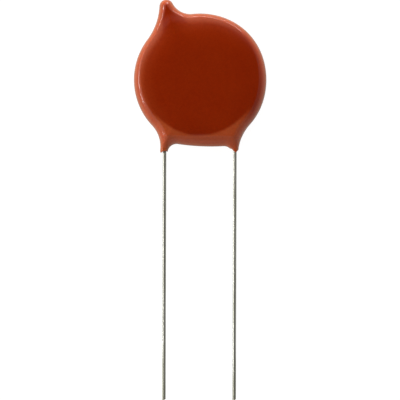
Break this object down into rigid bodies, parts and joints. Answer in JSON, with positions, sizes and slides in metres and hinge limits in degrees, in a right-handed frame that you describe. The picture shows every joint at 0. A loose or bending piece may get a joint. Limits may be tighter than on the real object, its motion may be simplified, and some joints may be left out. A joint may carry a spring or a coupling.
{
  "type": "ceramic disc capacitor",
  "caption": "Dip-coated ceramic disc with a drip nub on its rim and straight parallel wire leads for soldering into a circuit board.",
  "frame": {"origin": "The point where the disc's axis meets the flat surface that the capacitor lies on. The centre of its rear face is at this point.", "axes": "+X runs across the two leads, from the front lead to the rear lead. +Y runs from the leads towards the drip nub. +Z comes out of the front face."},
  "size_m": [0.0188, 0.057, 0.0044],
  "materials": {
    "coating_resin": "glossy dipped resin, slightly translucent",
    "dielectric_ceramic": "matt sintered ceramic",
    "fired_silver": "dull fired silver film",
    "solder": "smooth solder",
    "tinned_wire": "tinned copper wire, satin"
  },
  "bodies": {
    "root": {"coating": "coating_resin", "ceramic_disc": "dielectric_ceramic", "front_electrode": "fired_silver", "rear_electrode": "fired_silver", "front_solder": "solder", "rear_solder": "solder", "front_lead": "tinned_wire", "rear_lead": "tinned_wire"}
  },
  "joints": []
}
